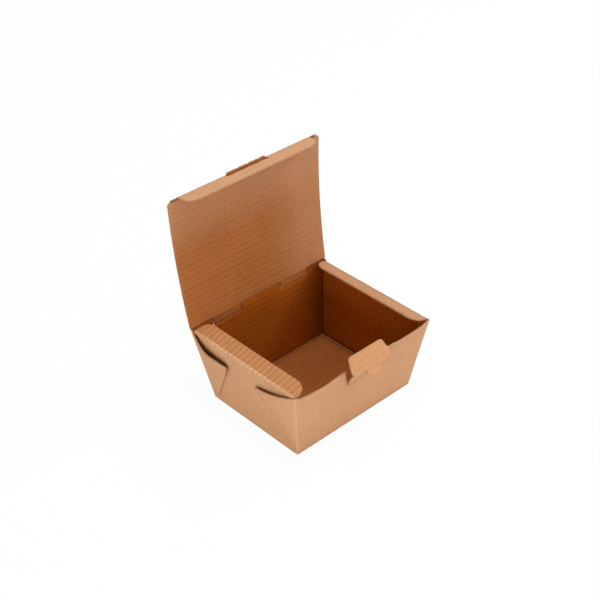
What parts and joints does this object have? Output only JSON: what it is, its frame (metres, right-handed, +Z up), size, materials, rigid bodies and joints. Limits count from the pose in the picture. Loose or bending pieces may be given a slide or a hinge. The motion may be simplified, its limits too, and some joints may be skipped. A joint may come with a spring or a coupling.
{
  "type": "takeaway box",
  "caption": "Open-top takeaway box of folded kraft corrugated board with a hinged lid, a tuck-in lip, inward end flaps and a lock tab on the front wall.",
  "frame": {"origin": "middle of the underside of the floor", "axes": "+X along the hinge of the lid, to the right seen from the front; +Y from the front wall with the lock tab to the wall that carries the lid; +Z up"},
  "size_m": [0.1398, 0.1317, 0.1668],
  "materials": {
    "tray_board": "uncoated brown kraft",
    "lid_board": "uncoated brown kraft",
    "lip_board": "uncoated brown kraft",
    "left_flap_board": "uncoated brown kraft",
    "right_flap_board": "uncoated brown kraft",
    "tab_board": "uncoated brown kraft"
  },
  "bodies": {
    "tray": {"tray": "tray_board"},
    "lid": {"lid": "lid_board"},
    "lid_lip": {"lid_lip": "lip_board"},
    "left_end_flap": {"left_end_flap": "left_flap_board"},
    "right_end_flap": {"right_end_flap": "right_flap_board"},
    "lock_tab": {"lock_tab": "tab_board"}
  },
  "joints": [
    {"name": "lid_hinge", "type": "hinge", "parent": "tray", "child": "lid", "pos_m": [0, 0.05474, 0.06245], "axis": [1, 0, 0], "range_deg": [-80, 94.8]},
    {"name": "lip_fold", "type": "hinge", "parent": "lid", "child": "lid_lip", "pos_m": [0, 0.06251, 0.16391], "axis": [1, 0, 0], "range_deg": [0, 80]},
    {"name": "left_flap_fold", "type": "hinge", "parent": "tray", "child": "left_end_flap", "pos_m": [-0.06315, 0, 0.0595], "axis": [0, 1, 0], "range_deg": [-80, 94.8]},
    {"name": "right_flap_fold", "type": "hinge", "parent": "tray", "child": "right_end_flap", "pos_m": [0.06315, 0, 0.0595], "axis": [0, -1, 0], "range_deg": [-80, 94.8]},
    {"name": "tab_fold", "type": "hinge", "parent": "tray", "child": "lock_tab", "pos_m": [0, -0.0623, 0.0581], "axis": [1, 0, 0], "range_deg": [-24, 66]}
  ],
  "couplings": [
    {"joint": "left_flap_fold", "follows": "lid_hinge", "ratio": 1},
    {"joint": "right_flap_fold", "follows": "lid_hinge", "ratio": 1}
  ]
}
